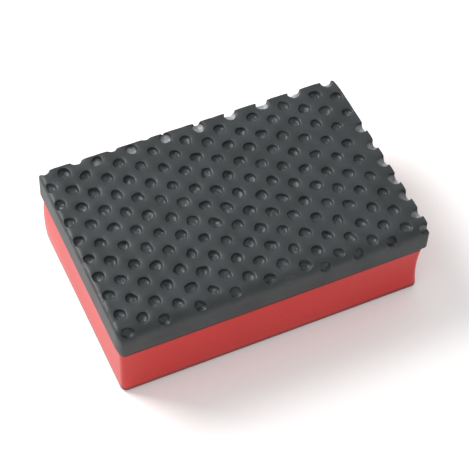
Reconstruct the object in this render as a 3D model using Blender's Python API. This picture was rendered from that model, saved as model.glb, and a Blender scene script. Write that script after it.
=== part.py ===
"""Hand sanding block: a foam grip bonded under a rubbery working pad full of round pits.

Frame: +X along the length, +Y across the width, +Z up out of the working face.
The origin is the middle of the flat face that the block stands on. All sizes are in metres.
"""

import math

import bmesh
import bpy
from mathutils import Matrix, Vector

OBJECT_NAME = "sanding_block"

# Driving dimensions
LENGTH = 0.0900  # over the pad, which is the widest layer
WIDTH = 0.0590
HEIGHT = 0.0270  # from the foam's flat face to the pad's working face
PAD_THICKNESS = 0.0084
FILM_THICKNESS = 0.0002
LAYER_GAP = 0.0003  # clearance between the bonded layers
CORNER_RADIUS = 0.0022  # upright corners of the pad
CORNER_SEGMENTS = 4

# Foam grip: its sides draw in between the bond and the foot
FOAM_OVERHANG = 0.0005  # how far the pad stands out past the foam
FOAM_WAIST = 0.0005
FOAM_FOOT_RADIUS = 0.0010
WAIST_STATIONS = (0.25, 0.50, 0.75)  # shares of the foam's height

# Bond film, just inside the foam's outline
FILM_INSET = 0.0012

# Pad edges: rolled over along the front and the left end, cut square at the other two
EDGE_ROLL = 0.0025
EDGE_ROLL_STEPS = 3
PAD_HEM = 0.0005  # lower edge turns in to the bond

# Pits: staggered columns, the whole pattern turned slightly from the block's sides
COLUMN_PITCH = 0.00505
ROW_PITCH = 0.00656
PATTERN_TURN = math.radians(1.67)
PATTERN_PHASE = Vector((-0.00226, -0.00151))  # one pit's centre
PIT_MOUTH_RADIUS = 0.0018
PIT_FLOOR_RADIUS = 0.0011
PIT_DEPTH = 0.0013
PIT_SIDES = 8
ROLLED_EDGE_MARGIN = 0.0006  # no pit centre is nearer to a rolled edge
CUT_EDGE_REACH = 0.0009  # a pit centre may lie this far outside a cut edge, which leaves a notch
PLUG_ABOVE = 0.0006  # how far a pit's cutter stands out of the surface

# Levels that follow from the layers
PAD_BOTTOM = HEIGHT - PAD_THICKNESS
FILM_TOP = PAD_BOTTOM - LAYER_GAP
FILM_BOTTOM = FILM_TOP - FILM_THICKNESS
FOAM_TOP = FILM_BOTTOM - LAYER_GAP


def clear_scene():
    for thing in list(bpy.data.objects):
        bpy.data.objects.remove(thing, do_unlink=True)


def new_collection(name):
    collection = bpy.data.collections.new(name)
    bpy.context.scene.collection.children.link(collection)
    return collection


def finish(name, hex_colour, roughness):
    """A Principled material of one colour, given as an sRGB hex value."""
    material = bpy.data.materials.new(name)
    material.use_nodes = True
    shader = material.node_tree.nodes["Principled BSDF"]
    channels = [int(hex_colour[i : i + 2], 16) / 255 for i in (0, 2, 4)]
    linear = [c / 12.92 if c <= 0.04045 else ((c + 0.055) / 1.055) ** 2.4 for c in channels]
    shader.inputs["Base Color"].default_value = (*linear, 1)
    shader.inputs["Roughness"].default_value = roughness
    shader.inputs["Metallic"].default_value = 0
    return material


def new_object(name, bm, collection, material=None):
    bmesh.ops.recalc_face_normals(bm, faces=bm.faces)
    mesh = bpy.data.meshes.new(name)
    bm.to_mesh(mesh)
    bm.free()
    piece = bpy.data.objects.new(name, mesh)
    collection.objects.link(piece)
    if material:
        mesh.materials.append(material)
    return piece


def bevel(bm, edges, radius, segments):
    bmesh.ops.bevel(
        bm, geom=edges, offset=radius, segments=segments, profile=0.5, affect="EDGES", material=-1
    )


def slab(length, width, bottom, top, corner_radius):
    """A box on the Z axis between two levels, with rounded upright corners."""
    bm = bmesh.new()
    bmesh.ops.create_cube(bm, size=1)
    bmesh.ops.scale(bm, vec=(length, width, top - bottom), verts=bm.verts)
    bmesh.ops.translate(bm, vec=(0, 0, (top + bottom) / 2), verts=bm.verts)
    upright = [e for e in bm.edges if abs(e.verts[0].co.z - e.verts[1].co.z) > (top - bottom) / 2]
    bevel(bm, upright, corner_radius, CORNER_SEGMENTS)
    return bm


def rim_edges(bm, level):
    """The outline edges of the flat face at this level."""
    flat = [e for e in bm.edges if all(abs(v.co.z - level) < 1e-6 for v in e.verts)]
    return [e for e in flat if any(abs(f.normal.z) < 0.5 for f in e.link_faces)]


def cut_across(bm, point, normal):
    """Adds an edge loop where a plane crosses the mesh."""
    everything = list(bm.verts) + list(bm.edges) + list(bm.faces)
    bmesh.ops.bisect_plane(bm, geom=everything, plane_co=point, plane_no=normal, dist=1e-7)


def foam_block(collection):
    """The grip: a closed-cell foam block with slightly waisted sides and a rounded foot."""
    bm = slab(
        LENGTH - 2 * FOAM_OVERHANG,
        WIDTH - 2 * FOAM_OVERHANG,
        0,
        FOAM_TOP,
        CORNER_RADIUS - FOAM_OVERHANG,
    )
    bm.normal_update()
    bevel(bm, rim_edges(bm, 0), FOAM_FOOT_RADIUS, 2)
    for share in WAIST_STATIONS:
        cut_across(bm, (0, 0, share * FOAM_TOP), (0, 0, 1))
    for vert in bm.verts:
        along = 2 * vert.co.z / FOAM_TOP - 1
        drawn_in = FOAM_WAIST * (1 - along * along)
        vert.co.x -= math.copysign(drawn_in, vert.co.x)
        vert.co.y -= math.copysign(drawn_in, vert.co.y)
    return new_object("foam_block", bm, collection, finish("red_eva_foam", "D83A36", 0.75))


def bond_film(collection):
    """The layer of contact adhesive that joins the foam to the pad."""
    bm = slab(
        LENGTH - 2 * FILM_INSET,
        WIDTH - 2 * FILM_INSET,
        FILM_BOTTOM,
        FILM_TOP,
        CORNER_RADIUS - FOAM_OVERHANG,
    )
    return new_object("bond_film", bm, collection, finish("dark_contact_adhesive", "4A1E1E", 0.5))


def roll_height(distance):
    """How far a rolled edge has dropped at a distance inwards from the side: a quarter circle."""
    share = 1 - min(max(distance / EDGE_ROLL, 0), 1)
    return EDGE_ROLL * (1 - math.sqrt(1 - share * share))


def roll_edges(bm):
    """Rounds the working face over along the front and the left end."""
    left = -LENGTH / 2
    front = -WIDTH / 2
    for step in range(1, EDGE_ROLL_STEPS + 1):
        inwards = EDGE_ROLL * (1 - math.cos(step / EDGE_ROLL_STEPS * math.pi / 2))
        cut_across(bm, (left + inwards, 0, 0), (1, 0, 0))
        cut_across(bm, (0, front + inwards, 0), (0, 1, 0))
    for vert in bm.verts:
        if vert.co.z > HEIGHT - 1e-6:
            nearest = min(vert.co.x - left, vert.co.y - front)
            vert.co.z -= roll_height(nearest)


def pit_centres():
    """Centres of the pits, in staggered columns over the working face."""
    reach = math.ceil(LENGTH / min(COLUMN_PITCH, ROW_PITCH))
    turn = Matrix.Rotation(PATTERN_TURN, 2)
    centres = []
    for column in range(-reach, reach + 1):
        stagger = ROW_PITCH / 2 * (column % 2)
        for row in range(-reach, reach + 1):
            place = Vector((column * COLUMN_PITCH, row * ROW_PITCH + stagger))
            centre = PATTERN_PHASE + turn @ place
            from_left = centre.x + LENGTH / 2
            from_front = centre.y + WIDTH / 2
            past_right = centre.x - LENGTH / 2
            past_back = centre.y - WIDTH / 2
            if min(from_left, from_front) < ROLLED_EDGE_MARGIN:
                continue
            if max(past_right, past_back) > CUT_EDGE_REACH:
                continue
            centres.append(centre)
    return centres


def lean(distance):
    """How far the rolled surface leans outwards at a distance inwards from the side."""
    return math.asin(1 - min(distance / EDGE_ROLL, 1))


def pit_seat(centre):
    """The frame of a pit's mouth: on the surface, with +Z straight out of it."""
    from_left = centre.x + LENGTH / 2
    from_front = centre.y + WIDTH / 2
    level = HEIGHT - roll_height(min(from_left, from_front))
    if from_left < from_front:
        tilt = Matrix.Rotation(-lean(from_left), 4, "Y")
    else:
        tilt = Matrix.Rotation(lean(from_front), 4, "X")
    return Matrix.Translation((centre.x, centre.y, level)) @ tilt


def pit_cutter(collection):
    """One mesh of separate tapered plugs, each the space of one pit."""
    taper = (PIT_MOUTH_RADIUS - PIT_FLOOR_RADIUS) / PIT_DEPTH
    bm = bmesh.new()
    for centre in pit_centres():
        bmesh.ops.create_cone(
            bm,
            cap_ends=True,
            segments=PIT_SIDES,
            radius1=PIT_FLOOR_RADIUS,
            radius2=PIT_MOUTH_RADIUS + taper * PLUG_ABOVE,
            depth=PIT_DEPTH + PLUG_ABOVE,
            matrix=pit_seat(centre) @ Matrix.Translation((0, 0, (PLUG_ABOVE - PIT_DEPTH) / 2)),
        )
    cutter = new_object("pit_cutter", bm, collection)
    cutter.hide_render = True
    cutter.display_type = "WIRE"
    return cutter


def dimpled_pad(collection, cutters):
    """The working pad: a slab with a turned-in hem, two rolled edges and the field of pits."""
    bm = slab(LENGTH, WIDTH, PAD_BOTTOM, HEIGHT, CORNER_RADIUS)
    bm.normal_update()
    bevel(bm, rim_edges(bm, PAD_BOTTOM), PAD_HEM, 2)
    roll_edges(bm)
    pad = new_object("dimpled_pad", bm, collection, finish("charcoal_rubber", "4E5254", 0.6))
    pits = pad.modifiers.new("pits", "BOOLEAN")
    pits.operation = "DIFFERENCE"
    pits.object = pit_cutter(cutters)
    return pad


def main():
    clear_scene()
    parts = new_collection(OBJECT_NAME)
    cutters = new_collection("cutters")
    cutters.hide_render = True
    foam_block(parts)
    bond_film(parts)
    dimpled_pad(parts, cutters)


main()
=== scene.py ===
"""Looks of a hand sanding block: a red foam grip bonded under a dark rubbery pad full of pits.

Sizes are in metres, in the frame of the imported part: +X along the length, +Y across the width,
+Z up out of the working face, and the origin on the flat face that the block stands on.
"""

import itertools
import logging
import math
import random
from dataclasses import dataclass, field
from enum import Enum

import bmesh
import bpy
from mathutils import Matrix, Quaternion, Vector, noise


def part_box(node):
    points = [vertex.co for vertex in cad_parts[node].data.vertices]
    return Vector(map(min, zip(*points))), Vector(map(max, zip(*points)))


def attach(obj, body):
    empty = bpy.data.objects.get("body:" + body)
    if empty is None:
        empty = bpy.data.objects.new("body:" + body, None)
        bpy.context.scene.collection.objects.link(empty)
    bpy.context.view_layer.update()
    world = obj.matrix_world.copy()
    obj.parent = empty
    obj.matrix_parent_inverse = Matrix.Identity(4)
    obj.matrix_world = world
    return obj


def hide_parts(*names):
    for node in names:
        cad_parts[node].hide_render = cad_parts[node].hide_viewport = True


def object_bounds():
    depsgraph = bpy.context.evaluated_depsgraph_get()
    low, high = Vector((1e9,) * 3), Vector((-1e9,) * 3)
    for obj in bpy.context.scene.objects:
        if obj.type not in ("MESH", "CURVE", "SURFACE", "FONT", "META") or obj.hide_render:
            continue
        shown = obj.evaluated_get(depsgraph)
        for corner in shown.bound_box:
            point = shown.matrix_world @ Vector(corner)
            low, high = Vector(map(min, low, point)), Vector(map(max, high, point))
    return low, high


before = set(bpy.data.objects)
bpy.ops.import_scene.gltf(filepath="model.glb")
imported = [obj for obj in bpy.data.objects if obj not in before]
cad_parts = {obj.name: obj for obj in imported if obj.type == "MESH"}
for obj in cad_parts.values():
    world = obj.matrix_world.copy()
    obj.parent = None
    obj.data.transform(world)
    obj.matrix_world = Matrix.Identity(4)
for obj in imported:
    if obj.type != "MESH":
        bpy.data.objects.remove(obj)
cad_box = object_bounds()

log = logging.getLogger("sanding_block")

MM = 0.001
SHARP_ANGLE = math.radians(38)  # edges that turn more than this stay crisp
LEVEL_TOLERANCE = 1e-6
UPRIGHT_SLOPE = 0.5  # a face whose normal has less than this of Z counts as upright
LOOP_SNAP = 1e-7
SLICE_SNAP = 0.02 * MM  # a slice takes slivers thinner than this with it


class Slot(Enum):
    """The record's material slots."""

    FOAM = "foam"
    ADHESIVE = "adhesive"
    PAD = "pad_rubber"


class CutSide(Enum):
    """The sides where a blade cut the pad, each with its outward direction in plan."""

    RIGHT = (1.0, 0.0)
    BACK = (0.0, 1.0)


# ---------------------------------------------------------------- helpers


def linear(hex_colour: str) -> tuple[float, float, float, float]:
    """Turns an sRGB hex colour to linear light.

    Args:
        hex_colour: Six hex digits.

    Returns:
        Red, green, blue and an alpha of 1.
    """
    channels = [int(hex_colour[i : i + 2], 16) / 255 for i in (0, 2, 4)]
    red, green, blue = (
        c / 12.92 if c <= 0.04045 else ((c + 0.055) / 1.055) ** 2.4 for c in channels
    )
    return red, green, blue, 1.0


def per_metre(size_mm: float) -> float:
    """The texture scale at which one feature is about this many millimetres across."""
    return 1 / (size_mm * MM)


def add_node(
    tree: bpy.types.NodeTree,
    kind: str,
    settings: dict | None = None,
    inputs: dict | None = None,
) -> bpy.types.Node:
    """Adds a node with its settings and its inputs.

    Args:
        tree: The node tree that gets it.
        kind: The node's type name.
        settings: Property values by name.
        inputs: For each socket a value, or the output socket that feeds it.

    Returns:
        The new node.
    """
    node = tree.nodes.new(kind)
    for name, value in (settings or {}).items():
        setattr(node, name, value)
    for socket, value in (inputs or {}).items():
        if isinstance(value, bpy.types.NodeSocket):
            tree.links.new(value, node.inputs[socket])
        else:
            node.inputs[socket].default_value = value
    return node


def new_material(name: str) -> tuple[bpy.types.Material, bpy.types.NodeTree, bpy.types.Node]:
    """Makes an empty node material around one Principled shader.

    Args:
        name: The material's name.

    Returns:
        The material, its node tree and its shader.
    """
    material = bpy.data.materials.new(name)
    material.use_nodes = True
    tree = material.node_tree
    return material, tree, tree.nodes["Principled BSDF"]


def mix_colours(
    tree: bpy.types.NodeTree,
    factor: bpy.types.NodeSocket,
    start: bpy.types.NodeSocket | str,
    end: str,
) -> bpy.types.NodeSocket:
    """Blends two colours.

    Args:
        tree: The node tree.
        factor: The share of the second colour.
        start: The first colour, as an output socket or as six hex digits.
        end: The second colour, as six hex digits.

    Returns:
        The blended colour.
    """
    first = linear(start) if isinstance(start, str) else start
    inputs = {"Factor": factor, "A": first, "B": linear(end)}
    return add_node(tree, "ShaderNodeMix", {"data_type": "RGBA"}, inputs).outputs["Result"]


def smooth_step(low: float, high: float, value: float) -> float:
    """Rises smoothly from 0 at low to 1 at high."""
    share = min(max((value - low) / (high - low), 0.0), 1.0)
    return share * share * (3 - 2 * share)


@dataclass(frozen=True)
class SlowNoise:
    """Even noise of about -1 to 1, in swells about this many millimetres across."""

    size_mm: float
    seed: float

    def at(self, point: Vector) -> float:
        """The noise at a point."""
        offset = Vector((self.seed, 2 * self.seed, -self.seed))
        return noise.noise(point * per_metre(self.size_mm) + offset)


def cut_loop(bm: bmesh.types.BMesh, point: Vector, normal: Vector) -> None:
    """Adds an edge loop where a plane crosses the whole mesh."""
    geometry = [*bm.verts, *bm.edges, *bm.faces]
    bmesh.ops.bisect_plane(bm, geom=geometry, dist=LOOP_SNAP, plane_co=point, plane_no=normal)


def add_loops(
    bm: bmesh.types.BMesh, axis: int, start: float, end: float, spacing: float
) -> None:
    """Divides a mesh by evenly spaced edge loops across one axis, so that its sides can bend.

    Args:
        bm: The mesh.
        axis: The axis, 0 to 2.
        start: Where on the axis the first loop goes.
        end: Where the last loop goes.
        spacing: About how far apart they are.
    """
    normal = Vector([1.0 if i == axis else 0.0 for i in range(3)])
    count = round((end - start) / spacing)
    for step in range(count + 1):
        cut_loop(bm, normal * (start + (end - start) * step / count), normal)


def slice_off(bm: bmesh.types.BMesh, point: Vector, normal: Vector) -> None:
    """Cuts away everything beyond a plane.

    Args:
        bm: The mesh.
        point: A point of the plane.
        normal: The plane's direction, towards the side that goes.
    """
    geometry = [*bm.verts, *bm.edges, *bm.faces]
    bmesh.ops.bisect_plane(
        bm, geom=geometry, dist=SLICE_SNAP, plane_co=point, plane_no=normal, clear_outer=True
    )


def round_edges(
    bm: bmesh.types.BMesh, edges: list[bmesh.types.BMEdge], radius: float, segments: int
) -> None:
    """Rounds edges over with an even profile.

    Args:
        bm: The mesh.
        edges: The edges to round.
        radius: Their new radius.
        segments: How many facets round each of them.
    """
    bmesh.ops.bevel(
        bm,
        geom=edges,
        offset=radius,
        segments=segments,
        profile=0.5,
        affect="EDGES",
        material=-1,
    )


def rounded_slab(
    low: Vector, high: Vector, corner: float, corner_segments: int
) -> bmesh.types.BMesh:
    """Makes a box between two corners, with rounded upright edges.

    Args:
        low: The lowest corner.
        high: The highest corner.
        corner: The upright edges' radius.
        corner_segments: How many facets round each of them.

    Returns:
        The box as a new bmesh.
    """
    bm = bmesh.new()
    bmesh.ops.create_cube(bm, size=1)
    bmesh.ops.scale(bm, vec=high - low, verts=bm.verts)
    bmesh.ops.translate(bm, vec=(high + low) / 2, verts=bm.verts)
    tall = (high.z - low.z) / 2
    upright = [e for e in bm.edges if abs(e.verts[0].co.z - e.verts[1].co.z) > tall]
    round_edges(bm, upright, corner, corner_segments)
    return bm


def rim_of(bm: bmesh.types.BMesh, level: float) -> list[bmesh.types.BMEdge]:
    """Finds the outline of a flat face.

    Args:
        bm: The mesh.
        level: The flat face's height.

    Returns:
        The edges round the face.
    """
    bm.normal_update()
    flat = [e for e in bm.edges if all(abs(v.co.z - level) < LEVEL_TOLERANCE for v in e.verts)]
    return [e for e in flat if any(abs(f.normal.z) < UPRIGHT_SLOPE for f in e.link_faces)]


def finished_piece(
    name: str, bm: bmesh.types.BMesh, materials: list[bpy.types.Material]
) -> bpy.types.Object:
    """Turns a bmesh into a shown object at the origin, smooth except at its crisp edges.

    Args:
        name: The object's name.
        bm: The piece's shape; it is freed.
        materials: The piece's materials, in slot order.

    Returns:
        The object, linked to the scene.
    """
    bmesh.ops.recalc_face_normals(bm, faces=bm.faces)
    for face in bm.faces:
        face.smooth = True
    for edge in bm.edges:
        edge.smooth = len(edge.link_faces) == 2 and edge.calc_face_angle() < SHARP_ANGLE
    mesh = bpy.data.meshes.new(name)
    bm.to_mesh(mesh)
    bm.free()
    for material in materials:
        mesh.materials.append(material)
    piece = bpy.data.objects.new(name, mesh)
    bpy.context.scene.collection.objects.link(piece)
    return piece


def report(piece: bpy.types.Object) -> None:
    """Logs a piece's name, size and number of triangles.

    Args:
        piece: The finished piece.
    """
    size = " x ".join(f"{d / MM:.1f}" for d in piece.dimensions)
    piece.data.calc_loop_triangles()
    log.info("%s: %s mm, %d triangles", piece.name, size, len(piece.data.loop_triangles))


# ---------------------------------------------------------------- finishes


@dataclass(frozen=True)
class EvaFoam:
    """Closed-cell EVA foam, sawn from a sheet.

    The open cut cells make it matt, with a fine sandy grain, and it is a little paler or deeper
    in slow clouds. It keeps enough gloss to go pale at a glancing angle.
    """

    name: str = "red_closed_cell_eva_foam"
    body: str = "CA231F"
    deep: str = "B61E1B"
    pale: str = "D4342E"
    painted_shade_and_glue: str = "4A1512"  # painted contact shadow along the foot, and at the top glue soaked in with painted shade along the seam
    shade_and_glue_bands: tuple[tuple[float, float], ...] = (  # share of the height, and how strong the painted shade and glue are there
        (0.002, 0.0),
        (0.02, 0.85),
        (0.05, 0.85),
        (0.145, 0.0),
        (0.93, 0.0),
        (0.972, 0.9),
    )
    cell_mm: float = 0.55  # real cells are about 0.25 mm; drawn coarser so that the grain shows
    cloud_mm: float = 14.0

    def build(self, low: float, high: float) -> bpy.types.Material:
        """Makes the material.

        Args:
            low: The level of the block's foot.
            high: The level of its glued face.

        Returns:
            The foam's material.
        """
        material, tree, shader = new_material(self.name)
        place = add_node(tree, "ShaderNodeTexCoord").outputs["Object"]
        clouds = add_node(
            tree,
            "ShaderNodeTexNoise",
            inputs={"Vector": place, "Scale": per_metre(self.cloud_mm), "Detail": 2.0},
        )
        tint = mix_colours(tree, clouds.outputs["Fac"], self.deep, self.body)
        cells = add_node(
            tree,
            "ShaderNodeTexVoronoi",
            {"feature": "F1"},
            {"Vector": place, "Scale": per_metre(self.cell_mm), "Randomness": 1.0},
        )
        cell_wall = add_node(
            tree,
            "ShaderNodeMapRange",
            inputs={
                "Value": cells.outputs["Distance"],
                "From Min": 0.15,
                "From Max": 0.75,
                "To Min": 0.0,
                "To Max": 0.35,
            },
        )
        speckle = mix_colours(tree, cell_wall.outputs["Result"], tint, self.pale)
        height = add_node(tree, "ShaderNodeSeparateXYZ", inputs={"Vector": place}).outputs["Z"]
        share = add_node(
            tree,
            "ShaderNodeMapRange",
            inputs={"Value": height, "From Min": low, "From Max": high},
        )
        shade_and_glue_ramp = add_node(tree, "ShaderNodeValToRGB", inputs={"Fac": share.outputs["Result"]})
        shade_and_glue_ramp.color_ramp.interpolation = "EASE"
        for position, strength in self.shade_and_glue_bands:
            stop = shade_and_glue_ramp.color_ramp.elements.new(position)
            stop.color = (strength, strength, strength, 1)
        # darker at the foot as painted contact shadow, and at the top as glue with painted seam
        # shade
        colour = mix_colours(tree, shade_and_glue_ramp.outputs["Color"], speckle, self.painted_shade_and_glue)
        bump = add_node(
            tree,
            "ShaderNodeBump",
            inputs={"Height": cells.outputs["Distance"], "Strength": 0.25, "Distance": 0.06 * MM},
        )
        tree.links.new(colour, shader.inputs["Base Color"])
        tree.links.new(bump.outputs["Normal"], shader.inputs["Normal"])
        shader.inputs["Roughness"].default_value = 0.5
        shader.inputs["IOR"].default_value = 1.48
        shader.inputs["Specular IOR Level"].default_value = 0.3
        shader.inputs["Sheen Weight"].default_value = 0.22
        shader.inputs["Sheen Roughness"].default_value = 0.4
        return material


@dataclass(frozen=True)
class MouldedRubber:
    """Cellular rubber with its moulded skin, as on the working face.

    The skin is satin and charcoal grey, slightly leathery, with darker patches where it was
    handled. Inside the pits it is untouched, so a little glossier, and paler as painted light
    that lifts their shade; in the pits beside the cut sides it is painted near white as a glint.
    """

    name: str = "charcoal_moulded_cellular_rubber"
    land: str = "2E3335"
    patch: str = "232729"
    # paler than the land: painted light that lifts the shade deep in the pits
    pit: str = "383D40"
    painted_glint: str = "A2A5A7"  # painted glint in the pits beside the cut sides
    patch_mm: float = 9.0
    grain_mm: float = 0.45  # the real grain is about 0.15 mm; drawn coarser so that it shows

    def build(self) -> bpy.types.Material:
        """Makes the material.

        It reads the attribute "pit": 0 on the land, 1 deep in a pit, and up to 2 in a pit that
        gets the painted glint.

        Returns:
            The skin's material.
        """
        material, tree, shader = new_material(self.name)
        place = add_node(tree, "ShaderNodeTexCoord").outputs["Object"]
        pit = add_node(tree, "ShaderNodeAttribute", {"attribute_name": "pit"}).outputs["Fac"]
        clouds = add_node(
            tree,
            "ShaderNodeTexNoise",
            inputs={
                "Vector": place,
                "Scale": per_metre(self.patch_mm),
                "Detail": 3.0,
                "Roughness": 0.6,
            },
        )
        patches = add_node(
            tree,
            "ShaderNodeMapRange",
            inputs={"Value": clouds.outputs["Fac"], "From Min": 0.35, "From Max": 0.6},
        )
        land = mix_colours(tree, patches.outputs["Result"], self.patch, self.land)
        # paler towards the pits' floors, as painted light against their shade
        skin = mix_colours(tree, pit, land, self.pit)
        # near white in the pits beside the cut sides, as a painted glint
        glint_mask = add_node(
            tree, "ShaderNodeMapRange", inputs={"Value": pit, "From Min": 1.0, "From Max": 2.0}
        )
        colour = mix_colours(tree, glint_mask.outputs["Result"], skin, self.painted_glint)
        grain = add_node(
            tree,
            "ShaderNodeTexNoise",
            inputs={"Vector": place, "Scale": per_metre(self.grain_mm), "Detail": 3.0},
        )
        gloss = add_node(
            tree,
            "ShaderNodeMapRange",
            inputs={"Value": pit, "To Min": 0.48, "To Max": 0.45},
        )
        roughen = add_node(
            tree,
            "ShaderNodeMapRange",
            inputs={"Value": pit, "To Min": 0.6, "To Max": 1.0},
        )
        bump = add_node(
            tree,
            "ShaderNodeBump",
            inputs={
                "Height": grain.outputs["Fac"],
                "Strength": roughen.outputs["Result"],
                "Distance": 0.09 * MM,
            },
        )
        tree.links.new(colour, shader.inputs["Base Color"])
        tree.links.new(gloss.outputs["Result"], shader.inputs["Roughness"])
        tree.links.new(bump.outputs["Normal"], shader.inputs["Normal"])
        shader.inputs["IOR"].default_value = 1.5
        return material


@dataclass(frozen=True)
class SlicedRubber:
    """The same cellular rubber where a blade went through it.

    The cut cells make it duller and darker than the skin, with a fine open grain.
    """

    name: str = "sliced_cellular_rubber"
    body: str = "2A2D2F"
    cell: str = "17191A"
    cell_mm: float = 0.5  # real cells are 0.2 to 0.3 mm; drawn coarser so that they show

    def build(self) -> bpy.types.Material:
        """Makes the material.

        Returns:
            The cut faces' material.
        """
        material, tree, shader = new_material(self.name)
        place = add_node(tree, "ShaderNodeTexCoord").outputs["Object"]
        cells = add_node(
            tree,
            "ShaderNodeTexVoronoi",
            {"feature": "F1"},
            {"Vector": place, "Scale": per_metre(self.cell_mm), "Randomness": 1.0},
        )
        opening = add_node(
            tree,
            "ShaderNodeMapRange",
            inputs={"Value": cells.outputs["Distance"], "From Min": 0.2, "From Max": 0.6},
        )
        colour = mix_colours(tree, opening.outputs["Result"], self.cell, self.body)
        bump = add_node(
            tree,
            "ShaderNodeBump",
            inputs={"Height": cells.outputs["Distance"], "Strength": 0.5, "Distance": 0.1 * MM},
        )
        tree.links.new(colour, shader.inputs["Base Color"])
        tree.links.new(bump.outputs["Normal"], shader.inputs["Normal"])
        shader.inputs["Roughness"].default_value = 0.7
        shader.inputs["IOR"].default_value = 1.5
        return material


@dataclass(frozen=True)
class ContactAdhesive:
    """Dried contact adhesive, rolled on and squeezed out to the seam.

    It is a dark red-brown film with a dull gloss, thicker in some places than in others. Its dark
    colour is partly painted shade along the seam.
    """

    name: str = "dark_contact_adhesive"
    # dark enough to serve partly as painted shade along the seam
    thick: str = "2A0F0E"
    thin: str = "4E1B18"
    run_mm: float = 3.0

    def build(self) -> bpy.types.Material:
        """Makes the material.

        Returns:
            The glue line's material.
        """
        material, tree, shader = new_material(self.name)
        place = add_node(tree, "ShaderNodeTexCoord").outputs["Object"]
        runs = add_node(
            tree,
            "ShaderNodeTexNoise",
            inputs={"Vector": place, "Scale": per_metre(self.run_mm), "Detail": 2.0},
        )
        colour = mix_colours(tree, runs.outputs["Fac"], self.thick, self.thin)
        bump = add_node(
            tree,
            "ShaderNodeBump",
            inputs={"Height": runs.outputs["Fac"], "Strength": 0.3, "Distance": 0.05 * MM},
        )
        tree.links.new(colour, shader.inputs["Base Color"])
        tree.links.new(bump.outputs["Normal"], shader.inputs["Normal"])
        shader.inputs["Roughness"].default_value = 0.45
        shader.inputs["IOR"].default_value = 1.47
        return material


@dataclass(frozen=True)
class BacklitAcrylic:
    """A white acrylic table lit from below, which keeps the shade round the block pale."""

    name: str = "backlit_white_acrylic"
    body: str = "F7F7F6"
    glow: float = 0.12
    grain_mm: float = 0.8

    def build(self) -> bpy.types.Material:
        """Makes the material.

        Returns:
            The floor's material.
        """
        material, tree, shader = new_material(self.name)
        place = add_node(tree, "ShaderNodeTexCoord").outputs["Object"]
        grain = add_node(
            tree, "ShaderNodeTexNoise", inputs={"Vector": place, "Scale": per_metre(self.grain_mm)}
        )
        bump = add_node(
            tree,
            "ShaderNodeBump",
            inputs={"Height": grain.outputs["Fac"], "Strength": 0.02, "Distance": 0.05 * MM},
        )
        tree.links.new(bump.outputs["Normal"], shader.inputs["Normal"])
        shader.inputs["Base Color"].default_value = linear(self.body)
        shader.inputs["Roughness"].default_value = 0.9
        shader.inputs["Specular IOR Level"].default_value = 0.1
        shader.inputs["Emission Color"].default_value = (1, 1, 1, 1)
        shader.inputs["Emission Strength"].default_value = self.glow
        return material


# ---------------------------------------------------------------- pieces


@dataclass
class FoamGrip:
    """The grip: one sawn foam block whose soft sides draw in a little between seam and foot."""

    low: Vector
    high: Vector
    corner: float = 1.7 * MM
    corner_segments: int = 6
    foot: float = 1.1 * MM
    foot_segments: int = 4
    top_edge: float = 0.25 * MM
    top_segments: int = 2
    waist: float = 0.55 * MM  # at the right end
    left_waist: float = 0.15  # of the waist, on the left half
    waist_from: float = 0.1  # where the waist begins to deepen, as a share of half the length
    bulge: float = 0.45 * MM  # outwards, towards the back of the left end
    bulge_from: tuple[float, float] = (0.3, -0.2)  # towards the left and the back, as shares
    still: float = 0.5  # share of each half size, from the middle, that doesn't move
    unevenness: float = 0.12 * MM
    swells: SlowNoise = SlowNoise(22, 3.1)
    station: float = 3.0 * MM
    finish: EvaFoam = EvaFoam()

    def shape(self) -> bmesh.types.BMesh:
        """Makes the block, its rounded rims and the waist.

        Returns:
            The grip's closed shape.
        """
        bm = rounded_slab(self.low, self.high, self.corner, self.corner_segments)
        round_edges(bm, rim_of(bm, self.low.z), self.foot, self.foot_segments)
        round_edges(bm, rim_of(bm, self.high.z), self.top_edge, self.top_segments)
        for axis, rounding in enumerate((self.corner, self.corner, self.foot)):
            start, end = self.low[axis] + rounding, self.high[axis] - rounding
            add_loops(bm, axis, start, end, self.station)
        tall = self.high.z - self.low.z
        for vert in bm.verts:
            along = 2 * (vert.co.z - self.low.z) / tall - 1
            right = smooth_step(self.waist_from, 1.0, vert.co.x / self.high.x)
            left = smooth_step(self.bulge_from[0], 1.0, -vert.co.x / self.high.x)
            back_left = left * smooth_step(self.bulge_from[1], 1.0, vert.co.y / self.high.y)
            swell = self.unevenness * self.swells.at(vert.co) + self.bulge * back_left
            deepening = self.left_waist + (1 - self.left_waist) * right
            inwards = self.waist * deepening * (1 - back_left)
            for axis in (0, 1):
                outward = math.copysign(1, vert.co[axis])
                edge = smooth_step(self.still, 1.0, abs(vert.co[axis]) / self.high[axis])
                vert.co[axis] += outward * edge * (swell - inwards) * (1 - along * along)
        return bm

    def build(self) -> bpy.types.Object:
        """Makes the finished grip.

        Returns:
            The grip's object, riding on the block.
        """
        material = self.finish.build(self.low.z, self.high.z)
        piece = finished_piece("foam_grip", self.shape(), [material])
        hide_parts("foam_block")
        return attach(piece, "root")


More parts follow.
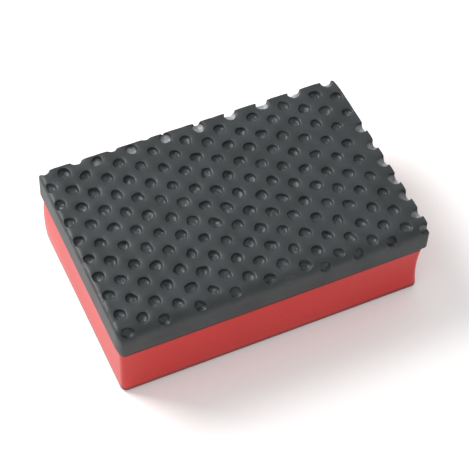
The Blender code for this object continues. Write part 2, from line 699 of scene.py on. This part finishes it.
@dataclass
class GlueLine:
    """The adhesive film between grip and pad, squeezed out unevenly towards the seam."""

    low: Vector
    high: Vector
    corner: float = 1.6 * MM
    corner_segments: int = 5
    rim: float = 0.4  # radius of the rounded rim, as a share of the film's thickness
    rim_segments: int = 2
    station: float = 1.6 * MM
    wander: float = 0.14 * MM
    wander_from: float = 0.97  # share of each half size beyond which the rim wanders
    swells: SlowNoise = SlowNoise(5, 8.7)
    finish: ContactAdhesive = ContactAdhesive()

    def shape(self) -> bmesh.types.BMesh:
        """Makes the film with a rounded, slightly wandering rim.

        Returns:
            The film's closed shape.
        """
        bm = rounded_slab(self.low, self.high, self.corner, self.corner_segments)
        thick = self.high.z - self.low.z
        for level in (self.low.z, self.high.z):
            round_edges(bm, rim_of(bm, level), thick * self.rim, self.rim_segments)
        for axis in (0, 1):
            start, end = self.low[axis] + self.corner, self.high[axis] - self.corner
            add_loops(bm, axis, start, end, self.station)
        for vert in bm.verts:
            for axis in (0, 1):
                edge = abs(vert.co[axis]) / self.high[axis]
                if edge > self.wander_from:
                    offset = self.wander * self.swells.at(vert.co)
                    vert.co[axis] += math.copysign(offset, vert.co[axis])
        return bm

    def build(self) -> bpy.types.Object:
        """Makes the finished glue line.

        Returns:
            The film's object, riding on the block.
        """
        piece = finished_piece("glue_line", self.shape(), [self.finish.build()])
        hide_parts("bond_film")
        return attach(piece, "root")


@dataclass(frozen=True)
class Pit:
    """One moulded pit, in the flat pattern before the sheet is folded over the pad's edges.

    The shoulder and the profile, from the mouth inwards to the floor's middle, are in shares of
    the mouth's radius and of the full depth.
    """

    centre: Vector
    radius: float
    depth: float
    squash: float
    heading: float
    glint_share: float  # from 0 to 1, how strong the painted glint in this pit is
    profile: tuple[tuple[float, float], ...] = (
        (1.05, 0.12),
        (1.00, 0.25),
        (0.95, 0.46),
        (0.88, 0.69),
        (0.79, 0.85),
        (0.62, 0.95),
        (0.33, 1.00),
    )
    shoulder: tuple[float, float] = (1.18, 0.06)
    brink: float = 0.9  # share of the shoulder's radius out to which the land is fully sunk
    basin: float = 1.8  # share of the mouth's radius where the land is level again
    basin_depth: float = 1.5  # at the brink, against the shoulder's own depth
    lean: tuple[float, float] = (-0.07, 0.12)  # of the floor, in shares of the radius

    def ring_point(self, angle: float, share: float, depth_share: float) -> Vector:
        """A point of the pit's surface.

        Args:
            angle: The direction from the centre.
            share: The distance from the centre, as a share of the mouth's radius.
            depth_share: How deep it is, as a share of the full depth.

        Returns:
            The point, with its depth as a negative Z.
        """
        oval = 1 + self.squash * math.cos(2 * (angle - self.heading))
        reach = self.radius * share * oval
        away = Vector((math.cos(angle) * reach, math.sin(angle) * reach))
        shift = Vector(self.lean) * self.radius * depth_share
        return Vector((*(self.centre.xy + away + shift), -self.depth * depth_share))

    def land_sink(self, point: Vector) -> float:
        """Works out how far the pit draws the land round it down.

        Args:
            point: A point of the land, in the flat pattern.

        Returns:
            The drop there.
        """
        share = (point.xy - self.centre.xy).length / self.radius
        fall = 1 - smooth_step(self.brink * self.shoulder[0], self.basin, share)
        return self.basin_depth * self.depth * self.shoulder[1] * fall


@dataclass(frozen=True)
class Blade:
    """What the blade did to the pits beside the two cut sides, and how strong a painted glint they
    get.

    A reach is a pair of distances from the cut, where its effect is full and where it has ended.
    """

    pull_reach: tuple[float, float] = (2.05 * MM, 2.3 * MM)  # from the right side
    pulled_to: float = 0.9 * MM  # distance from the right side of the pits that were pulled
    tear_reach: tuple[float, float] = (0.8 * MM, 2.4 * MM)  # from the back
    glint_reach: tuple[float, float] = (1.6 * MM, 2.7 * MM)  # from the back
    pulled_glint: float = 0.8  # of a pulled pit, against one at the back
    deepening: float = 0.6  # of a torn pit, as a share
    widening: float = 0.1

    def pulls(self, from_right: float) -> float:
        """How far a pit is pulled to the right side's cut, from 0 to 1."""
        return 1 - smooth_step(*self.pull_reach, abs(from_right))

    def tears(self, from_right: float, from_back: float) -> float:
        """How far a pit is torn open, from 0 to 1; the corner itself holds together."""
        torn_back = 1 - smooth_step(*self.tear_reach, abs(from_back))
        return abs(self.pulls(from_right) - torn_back)

    def glint_of(self, from_right: float, from_back: float) -> float:
        """How strong a pit's painted glint is, from 0 to 1."""
        near_back = 1 - smooth_step(*self.glint_reach, abs(from_back))
        return max(self.pulled_glint * self.pulls(from_right), near_back)


@dataclass
class DimpledPad:
    """The working pad: a moulded rubber sheet with staggered pits, wrapped over a soft core.

    The sheet is modelled flat with its pits, folded down over the front and the left end,
    then sliced at the back and the right end, where the blade goes through the pits.
    """

    low: Vector
    high: Vector
    left_roll: float = 1.3 * MM
    front_roll: float = 3.3 * MM
    cut_corner: float = 0.9 * MM
    corner_cuts: tuple[float, ...] = (22.5, 45.0, 67.5)  # directions of its facets, in degrees
    hem: float = 0.5 * MM
    hem_turns: tuple[float, ...] = (30, 60, 90)  # round the hem, in degrees
    steepest: float = math.radians(88.5)  # of the folded sheet's slope
    skirt: float = 1.6 * MM  # from the underside up to where the sheet ends
    wall_shares: tuple[float, ...] = (0.1, 0.5, 1.0)  # down the wall, from the skirt to the hem
    column_pitch: float = 5.05 * MM
    row_pitch: float = 6.56 * MM
    turn: float = math.radians(1.67)  # of the whole pattern
    phase: tuple[float, float] = (-2.26 * MM, -1.51 * MM)  # one pit's centre
    columns: tuple[int, int] = (-10, 10)
    rows: tuple[int, int] = (-6, 6)
    column_cells: int = 8
    row_cells: int = 10
    pit_cells: int = 6
    pit_radius: float = 1.68 * MM
    radius_spread: tuple[float, float] = (0.92, 1.05)
    pit_depth: float = 1.25 * MM
    depth_spread: tuple[float, float] = (0.86, 1.12)
    most_squash: float = 0.09
    jitter: float = 0.11 * MM
    gather: float = 0.2  # how far the front roll draws its pits back up, as a share
    front_fade: tuple[float, float] = (1.15, 1.56)  # past the roll's start, in its radius
    left_fade: tuple[float, float] = (0.8, 1.6)  # the same for the left roll
    weakest: float = 0.1  # a fading pit that is shallower than this share is left out
    front_deepening: float = 0.3  # of the pits on the front roll
    swell: float = 0.05 * MM  # of the land, in slow waves
    swell_top: float = 0.8  # the share of the noise where the waves are cut off level
    swells: SlowNoise = SlowNoise(11, 1.3)
    crumple: float = 0.38 * MM  # of the pits' walls and floors; up to twice that where the glint is painted
    puckers: SlowNoise = SlowNoise(1.3, 4.9)
    wander: float = 0.30 * MM  # of the pits' rims
    drifts: tuple[SlowNoise, SlowNoise] = (SlowNoise(2, 6.1), SlowNoise(2, 9.7))
    droop: float = 0.6 * MM  # of the corner between the two cut sides
    droop_reach: float = 5 * MM
    cut_facing: float = 0.75  # a wall that faces a cut side by more than this was cut
    seed: int = 5
    blade: Blade = Blade()
    finish: MouldedRubber = MouldedRubber()
    cut_finish: SlicedRubber = SlicedRubber()
    pits: dict[tuple[int, int], Pit] = field(default_factory=dict)

    # ---- the pattern

    def to_plan(self, point: Vector) -> Vector:
        """Turns and shifts a point of the pattern into the sheet's place over the block.

        Args:
            point: The point in the pattern, with its height over the sheet as Z.

        Returns:
            The same point in plan.
        """
        cos, sin = math.cos(self.turn), math.sin(self.turn)
        return Vector(
            (
                self.phase[0] + cos * point.x - sin * point.y,
                self.phase[1] + sin * point.x + cos * point.y,
                point.z,
            )
        )

    def past_roll(self, plan: Vector) -> Vector:
        """Measures how far a flat point lies past the start of each roll.

        Args:
            plan: The point in plan.

        Returns:
            The distances past the left and the front roll, in shares of the roll's radius.
        """
        return Vector(
            (
                max(0.0, (self.low.x + self.left_roll - plan.x) / self.left_roll),
                max(0.0, (self.low.y + self.front_roll - plan.y) / self.front_roll),
            )
        )

    def place_pits(self) -> None:
        """Fills the pattern with pits that differ a little.

        They are deeper on the front roll, fade out below the rolls, and are torn open beside the
        cut sides.
        """
        dice = random.Random(self.seed)
        for column in range(self.columns[0], self.columns[1] + 1):
            for row in range(self.rows[0], self.rows[1] + 1):
                centre = Vector(
                    (
                        column * self.column_pitch + dice.gauss(0, self.jitter),
                        (row + 0.5 * (column % 2)) * self.row_pitch + dice.gauss(0, self.jitter),
                    )
                )
                plan = self.to_plan(centre.to_3d())
                folded = self.past_roll(plan)
                strength = 1 - smooth_step(*self.front_fade, folded.y)
                strength *= 1 - smooth_step(*self.left_fade, folded.x)
                if strength < self.weakest:
                    continue
                from_right, from_back = self.high.x - plan.x, self.high.y - plan.y
                torn = self.blade.tears(from_right, from_back)
                pull = (from_right - self.blade.pulled_to) * self.blade.pulls(from_right)
                centre.y += self.gather * self.front_roll * folded.y
                centre.x += pull
                deeper = 1 + self.blade.deepening * torn
                deeper += self.front_deepening * min(folded.y, 1.0)
                wider = 1 + self.blade.widening * torn
                self.pits[column, row] = Pit(
                    centre=centre,
                    radius=self.pit_radius * dice.uniform(*self.radius_spread) * wider,
                    depth=self.pit_depth * dice.uniform(*self.depth_spread) * strength * deeper,
                    squash=dice.uniform(0.0, self.most_squash),
                    heading=dice.uniform(0.0, math.pi),
                    glint_share=self.blade.glint_of(from_right, from_back),
                )

    def home_of(self, point: Vector) -> tuple[int, int]:
        """Finds the pattern cell that a point lies in.

        Args:
            point: The point in the pattern.

        Returns:
            The cell's column and row.
        """
        column = round(point.x / self.column_pitch)
        row = round(point.y / self.row_pitch - 0.5 * (column % 2))
        return column, row

    def grid_centre(self, home: tuple[int, int]) -> Vector:
        """The middle of a pattern cell, where an even pattern would have its pit."""
        column, row = home
        return Vector((column * self.column_pitch, (row + 0.5 * (column % 2)) * self.row_pitch))

    # ---- the sheet

    def flat_sheet(self) -> bmesh.types.BMesh:
        """Makes the flat sheet, a grid that keeps step with the pattern.

        Returns:
            The sheet with its centre lines on the pattern's origin.
        """
        across = 2 * max(abs(c) for c in self.columns) + 1
        along = 2 * max(abs(r) for r in self.rows) + 1
        bm = bmesh.new()
        bmesh.ops.create_grid(
            bm,
            x_segments=across * self.column_cells,
            y_segments=along * self.row_cells,
            size=0.5,
        )
        size = Vector((across * self.column_pitch, along * self.row_pitch, 1))
        bmesh.ops.scale(bm, vec=size, verts=bm.verts)
        return bm

    def open_pits(self, bm: bmesh.types.BMesh) -> None:
        """Takes out a block of cells at each pit and sinks the pit there, ring by ring.

        Args:
            bm: The flat sheet. Its vertices get the attribute "pit" that MouldedRubber reads.
        """
        half = Vector(
            (
                self.column_pitch / self.column_cells * self.pit_cells / 2,
                self.row_pitch / self.row_cells * self.pit_cells / 2,
            )
        )
        block = []
        for face in bm.faces:
            middle = face.calc_center_median()
            home = self.home_of(middle)
            away = middle.xy - self.grid_centre(home)
            if home in self.pits and abs(away.x) < half.x and abs(away.y) < half.y:
                block.append(face)
        outer = {v for v in bm.verts if v.is_boundary}
        bmesh.ops.delete(bm, geom=block, context="FACES")
        rims = [e for e in bm.edges if e.is_boundary and not outer.intersection(e.verts)]
        angle_of = bm.verts.layers.float.new("angle")
        column_of = bm.verts.layers.int.new("column")
        row_of = bm.verts.layers.int.new("row")
        depth_of = bm.verts.layers.float.new("pit")
        for vert in {v for e in rims for v in e.verts}:
            home = self.home_of(vert.co)
            away = vert.co.xy - self.grid_centre(home)
            vert[angle_of] = math.atan2(away.y, away.x)
            vert[column_of], vert[row_of] = home
            vert.co = self.pits[home].ring_point(vert[angle_of], *self.pits[home].shoulder)
        for station in next(iter(self.pits.values())).profile:
            made = bmesh.ops.extrude_edge_only(bm, edges=rims)["geom"]
            rims = [g for g in made if isinstance(g, bmesh.types.BMEdge)]
            for vert in [g for g in made if isinstance(g, bmesh.types.BMVert)]:
                pit = self.pits[vert[column_of], vert[row_of]]
                vert.co = pit.ring_point(vert[angle_of], *station)
                vert[depth_of] = station[1] * min(1.0, pit.depth / self.pit_depth)
                # pushed above 1 where the glint is painted
                vert[depth_of] *= 1 + pit.glint_share
        floors = bmesh.ops.holes_fill(bm, edges=rims, sides=0)["faces"]
        bmesh.ops.poke(bm, faces=floors)

    def sink_land(self, bm: bmesh.types.BMesh) -> None:
        """Draws the land down softly towards each pit.

        Args:
            bm: The flat sheet with its pits.
        """
        angle_of = bm.verts.layers.float["angle"]
        for vert in bm.verts:
            if vert.co.z < 0 or vert[angle_of]:
                continue
            column, row = self.home_of(vert.co)
            steps = itertools.product((-1, 0, 1), repeat=2)
            near = [self.pits.get((column + right, row + up)) for right, up in steps]
            vert.co.z -= max((pit.land_sink(vert.co) for pit in near if pit), default=0.0)

    def fold(self, flat: Vector) -> Vector:
        """Folds a point of the flat sheet over the rolled edges.

        Args:
            flat: The point in plan, with its height over the sheet as Z.

        Returns:
            The point on the folded sheet.
        """
        past = self.past_roll(flat)
        reach = past.length
        if reach == 0:
            return Vector((flat.x, flat.y, self.high.z + flat.z))
        outward = -(past / reach)
        angle = min(reach, self.steepest)
        tall = self.left_roll * outward.x**2 + self.front_roll * outward.y**2
        normal = Vector((*(outward * math.sin(angle)), math.cos(angle)))
        core = Vector(
            (
                max(flat.x, self.low.x + self.left_roll),
                max(flat.y, self.low.y + self.front_roll),
                self.high.z - tall,
            )
        )
        shell = Vector((self.left_roll * normal.x, self.front_roll * normal.y, tall * normal.z))
        downhill = Vector((*(outward * math.cos(angle)), -math.sin(angle)))
        return core + shell + downhill * (reach - angle) * tall + normal * flat.z

    def trim(self, bm: bmesh.types.BMesh) -> None:
        """Slices the folded sheet to the pad's outline and ends its skirt above the hem.

        Args:
            bm: The folded sheet.
        """
        slice_off(bm, Vector((self.high.x, 0, 0)), Vector((1, 0, 0)))
        slice_off(bm, Vector((0, self.high.y, 0)), Vector((0, 1, 0)))
        for sign_x, sign_y in ((1, 1), (-1, 1), (1, -1)):  # the front left corner is rolled
            middle = Vector(
                (
                    sign_x * (self.high.x - self.cut_corner),
                    sign_y * (self.high.y - self.cut_corner),
                    0,
                )
            )
            for degrees in self.corner_cuts:
                turn = math.radians(degrees)
                outward = Vector((sign_x * math.cos(turn), sign_y * math.sin(turn), 0))
                slice_off(bm, middle + outward * self.cut_corner, outward)
        slice_off(bm, Vector((0, 0, self.low.z + self.skirt)), Vector((0, 0, -1)))

    def outward_of(self, point: Vector) -> Vector:
        """Finds the outward direction of the pad's outline in plan.

        Args:
            point: A point on the outline or beside it.

        Returns:
            The direction, one unit long.
        """
        rolled = point.x < 0 and point.y < 0
        inner = Vector(
            (
                max(point.x, self.low.x + (self.left_roll if rolled else self.cut_corner)),
                max(point.y, self.low.y + (self.front_roll if rolled else self.cut_corner)),
            )
        )
        inner.x = min(inner.x, self.high.x - self.cut_corner)
        inner.y = min(inner.y, self.high.y - self.cut_corner)
        return (point.xy - inner).normalized()

    def close_below(self, bm: bmesh.types.BMesh) -> None:
        """Draws the sheet's edge down into walls, turns the hem in and closes the underside.

        Args:
            bm: The folded and trimmed sheet.
        """
        wall = self.skirt - self.hem
        end = self.low.z + self.skirt
        stations = [(end - wall * share, 0.0) for share in self.wall_shares]
        for degrees in self.hem_turns:
            turn = math.radians(degrees)
            stations.append(
                (
                    self.low.z + self.hem * (1 - math.sin(turn)),
                    self.hem * (1 - math.cos(turn)),
                )
            )
        rim = [e for e in bm.edges if e.is_boundary]
        drawn_in = 0.0
        for number, (level, inwards) in enumerate(stations):
            made = bmesh.ops.extrude_edge_only(bm, edges=rim)["geom"]
            rim = [g for g in made if isinstance(g, bmesh.types.BMEdge)]
            for vert in [g for g in made if isinstance(g, bmesh.types.BMVert)]:
                step = self.outward_of(vert.co) * (drawn_in - inwards)
                vert.co = Vector((vert.co.x + step.x, vert.co.y + step.y, level))
            if number < len(self.wall_shares):
                for face in [g for g in made if isinstance(g, bmesh.types.BMFace)]:
                    self.mark_cut(face)
            drawn_in = inwards
        underside = bmesh.ops.holes_fill(bm, edges=rim, sides=0)["faces"]
        middle = bmesh.ops.poke(bm, faces=underside)["verts"][0]
        middle.co = (0, 0, self.low.z)

    def mark_cut(self, face: bmesh.types.BMFace) -> None:
        """Gives a wall face the sliced finish where it lies on a cut side.

        Args:
            face: The face.
        """
        outward = self.outward_of(face.calc_center_median())
        if any(outward.dot(Vector(side.value)) > self.cut_facing for side in CutSide):
            face.material_index = 1

    def shape(self) -> bmesh.types.BMesh:
        """Makes the whole pad.

        Returns:
            The pad's closed shape.
        """
        self.place_pits()
        bm = self.flat_sheet()
        self.open_pits(bm)
        self.sink_land(bm)
        depth_of = bm.verts.layers.float["pit"]
        for vert in bm.verts:
            flat = self.to_plan(vert.co)
            lift = self.swell * (self.swells.at(flat) - self.swell_top)
            crumple = self.crumple * vert[depth_of] * self.puckers.at(flat)
            wander = self.wander * Vector([drift.at(flat) for drift in self.drifts])
            vert.co = self.fold(flat + Vector((*wander, min(lift, 0.0) + crumple)))
            from_corner = (vert.co.xy - self.high.xy).length
            vert.co.z -= self.droop * (1 - smooth_step(0.0, self.droop_reach, from_corner))
        self.trim(bm)
        self.close_below(bm)
        return bm

    def build(self) -> bpy.types.Object:
        """Makes the finished pad.

        Returns:
            The pad's object, riding on the block.
        """
        finishes = [self.finish.build(), self.cut_finish.build()]
        piece = finished_piece("pitted_pad", self.shape(), finishes)
        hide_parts("dimpled_pad")
        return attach(piece, "root")


# ---------------------------------------------------------------- studio


@dataclass(frozen=True)
class Softbox:
    """A square soft light that looks at the block."""

    name: str
    place: tuple[float, float, float]
    size: float
    watts: float

    def build(self, target: Vector) -> None:
        """Makes the light and turns it to a point.

        Args:
            target: The point it looks at.
        """
        light = bpy.data.lights.new(self.name, "AREA")
        light.shape = "SQUARE"
        light.size = self.size
        light.energy = self.watts
        lamp = bpy.data.objects.new(self.name, light)
        bpy.context.scene.collection.objects.link(lamp)
        lamp.location = self.place
        lamp.rotation_euler = (target - Vector(self.place)).to_track_quat("-Z", "Y").to_euler()


@dataclass
class Studio:
    """A white table, an even white surround and a softbox behind the block's left end."""

    target: Vector
    floor_size: float = 6.0
    surround: float = 0.70
    table: BacklitAcrylic = BacklitAcrylic()
    lights: tuple[Softbox, ...] = (
        Softbox("back_left_softbox", place=(-0.46, 0.52, 0.60), size=0.45, watts=7.8),
    )

    def build(self) -> None:
        """Makes the floor, the surround and the lights."""
        bm = bmesh.new()
        bmesh.ops.create_grid(bm, x_segments=1, y_segments=1, size=self.floor_size / 2)
        floor = finished_piece("white_floor", bm, [self.table.build()])
        world = bpy.data.worlds.new("white_surround")
        world.use_nodes = True
        background = world.node_tree.nodes["Background"]
        background.inputs["Color"].default_value = (1, 1, 1, 1)
        background.inputs["Strength"].default_value = self.surround
        bpy.context.scene.world = world
        for softbox in self.lights:
            softbox.build(self.target)


@dataclass(frozen=True)
class ViewCamera:
    """A camera in front of the block, to its left and well above it."""

    place: tuple[float, float, float] = (-0.12046, -0.24451, 0.37095)
    aim: tuple[float, float, float] = (0.0002, -0.0016, 0.0125)
    roll: float = math.radians(2.55)
    lens_mm: float = 123.5
    clip: tuple[float, float] = (0.01, 20.0)

    def build(self) -> None:
        """Makes the camera and sets it as the scene's."""
        data = bpy.data.cameras.new("view_camera")
        data.lens = self.lens_mm
        data.clip_start, data.clip_end = self.clip
        camera = bpy.data.objects.new("view_camera", data)
        bpy.context.scene.collection.objects.link(camera)
        camera.location = self.place
        look = (Vector(self.aim) - Vector(self.place)).to_track_quat("-Z", "Y")
        camera.rotation_mode = "QUATERNION"
        camera.rotation_quaternion = look @ Quaternion((0, 0, 1), self.roll)
        bpy.context.scene.camera = camera


# ---------------------------------------------------------------- the whole


def main() -> None:
    """Builds the block's pieces from the bottom up, then the studio round them."""
    logging.basicConfig(level=logging.INFO, format="%(name)s: %(message)s")
    foam_low, foam_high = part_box("foam_block")
    film_low, film_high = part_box("bond_film")
    pad_low, pad_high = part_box("dimpled_pad")
    seam_rise = Vector((0, 0, 0.15 * MM))  # the soft layers fill most of the seam's clearance
    squeeze = Vector((0.25 * MM, 0.25 * MM, 0.1 * MM))  # of the glue, out to the seam
    report(FoamGrip(foam_low, foam_high + seam_rise).build())
    report(GlueLine(film_low - squeeze, film_high + squeeze).build())
    report(DimpledPad(pad_low - seam_rise, pad_high).build())
    Studio(target=(cad_box[0] + cad_box[1]) / 2).build()
    ViewCamera().build()
    bpy.context.scene.view_settings.view_transform = "Standard"


if __name__ == "__main__":
    main()
